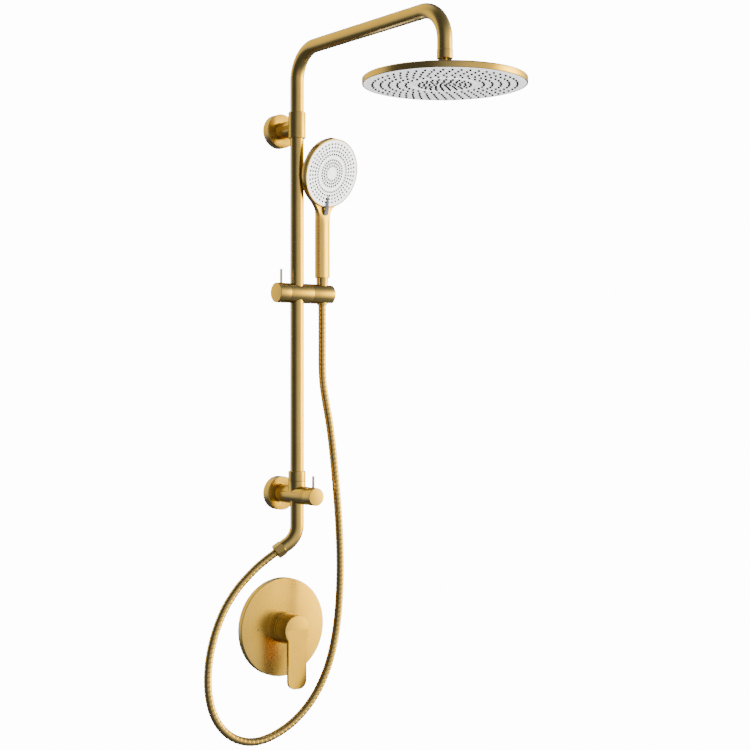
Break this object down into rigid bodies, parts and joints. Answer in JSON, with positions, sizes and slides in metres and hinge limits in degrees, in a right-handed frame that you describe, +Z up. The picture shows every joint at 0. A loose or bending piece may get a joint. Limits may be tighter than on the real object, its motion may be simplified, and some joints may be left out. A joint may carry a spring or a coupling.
{
  "type": "rainfall shower column",
  "caption": "Wall-mounted shower column with swivelling arm and round rain head, sliding hand shower on a hose, diverter knob and a separate round mixer valve with lever.",
  "frame": {"origin": "centre of the lower wall flange's back, on the wall, where the water comes in", "axes": "+Z up along the riser; +Y into the wall; +X to the right of a person facing the wall"},
  "size_m": [0.3065, 0.6463, 1.2131],
  "materials": {
    "gold_metal": "polished, gold-coated",
    "gold_plastic": "gold-plated gloss",
    "grey_plastic": "satin chrome",
    "bare_brass": "machined",
    "stainless": "machined",
    "white_plastic": "light satin",
    "inner_plastic": "moulded",
    "seal_rubber": "matte",
    "hose_gold": "gold-coated metal spiral"
  },
  "bodies": {
    "root": {"lower_flange": "gold_metal", "diverter_body": "gold_metal", "inlet_nipple": "bare_brass", "diverter_cartridge": "inner_plastic", "diverter_bonnet": "gold_metal", "upper_flange": "gold_metal", "upper_wall_disc": "stainless", "upper_wall_stud": "stainless", "arm_bush": "inner_plastic", "set_screws": "stainless", "upper_bracket": "gold_metal", "riser_collar": "gold_metal", "column_o_rings": "seal_rubber", "riser_tube": "gold_metal", "outlet_elbow": "gold_metal", "hose_nut": "gold_metal", "hose_washer": "seal_rubber", "shower_hose": "hose_gold", "valve_body": "bare_brass", "valve_cartridge": "inner_plastic", "valve_bonnet_nut": "bare_brass", "trim_gasket": "seal_rubber", "trim_plate": "gold_metal", "trim_sleeve": "gold_metal"},
    "diverter_knob": {"diverter_knob": "gold_metal", "diverter_knob_pin": "gold_metal", "diverter_spindle": "bare_brass"},
    "arm": {"shower_arm": "gold_metal", "arm_outlet_nipple": "bare_brass", "flow_restrictor": "inner_plastic", "ball_nut": "gold_metal"},
    "head_gimbal": {"ball_seat": "inner_plastic"},
    "rain_head": {"head_ball": "bare_brass", "head_washer": "seal_rubber", "head_cover": "gold_metal", "head_face": "white_plastic", "head_nozzle_mat": "seal_rubber", "head_back_plate": "inner_plastic"},
    "slider": {"slider_body": "gold_metal", "slider_bush": "inner_plastic", "brake_shoe": "seal_rubber", "cradle_pivot_bolt": "stainless", "cradle_washer": "inner_plastic", "hose_neck": "hose_gold"},
    "lock_knob": {"lock_knob": "gold_metal", "lock_knob_pin": "gold_metal", "lock_spindle": "bare_brass"},
    "cradle": {"cradle": "gold_metal"},
    "hand_shower": {"hand_shower_shell": "gold_plastic", "hand_shower_face": "white_plastic", "spray_engine": "inner_plastic", "check_valve": "inner_plastic", "hose_cone_nut": "gold_metal", "cone_washer": "seal_rubber"},
    "spray_selector": {"selector_ring": "gold_plastic", "selector_lever": "grey_plastic"},
    "valve_lever": {"valve_lever": "gold_metal", "lever_set_screw": "stainless", "valve_stem": "bare_brass"}
  },
  "joints": [
    {"name": "arm_swivel", "type": "hinge", "parent": "root", "child": "arm", "pos_m": [0, -0.0623, 0.655], "axis": [0, 0, 1], "range_deg": [-45, 45]},
    {"name": "head_tilt", "type": "hinge", "parent": "arm", "child": "head_gimbal", "pos_m": [0, -0.4613, 0.6995], "axis": [1, 0, 0], "range_deg": [-15, 15]},
    {"name": "head_lean", "type": "hinge", "parent": "head_gimbal", "child": "rain_head", "pos_m": [0, -0.4613, 0.6995], "axis": [0, 1, 0], "range_deg": [-15, 15]},
    {"name": "slider_slide", "type": "slide", "parent": "root", "child": "slider", "axis": [0, 0, 1], "range_m": [-0.29, 0.055], "deforming": ["shower_hose"]},
    {"name": "lock_turn", "type": "hinge", "parent": "slider", "child": "lock_knob", "pos_m": [-0.033, -0.0623, 0.3527], "axis": [-1, 0, 0], "range_deg": [0, 90]},
    {"name": "cradle_tilt", "type": "hinge", "parent": "slider", "child": "cradle", "pos_m": [0.045, -0.0623, 0.3527], "axis": [1, 0, 0], "range_deg": [0, 30], "deforming": ["hose_neck"]},
    {"name": "hand_shower_turn", "type": "hinge", "parent": "cradle", "child": "hand_shower", "pos_m": [0.054, -0.0623, 0.36], "axis": [0, 0, 1], "range_deg": [0, 150]},
    {"name": "selector_turn", "type": "hinge", "parent": "hand_shower", "child": "spray_selector", "pos_m": [0.05762, -0.08805, 0.5644], "axis": [0.1344, -0.9565, -0.2588], "range_deg": [-25, 25]},
    {"name": "diverter_turn", "type": "hinge", "parent": "root", "child": "diverter_knob", "pos_m": [0, -0.11, 0], "axis": [0, 1, 0], "range_deg": [0, 90]},
    {"name": "lever_turn", "type": "hinge", "parent": "root", "child": "valve_lever", "pos_m": [0.0052, -0.04, -0.239], "axis": [0, -1, 0], "range_deg": [0, 270]}
  ]
}
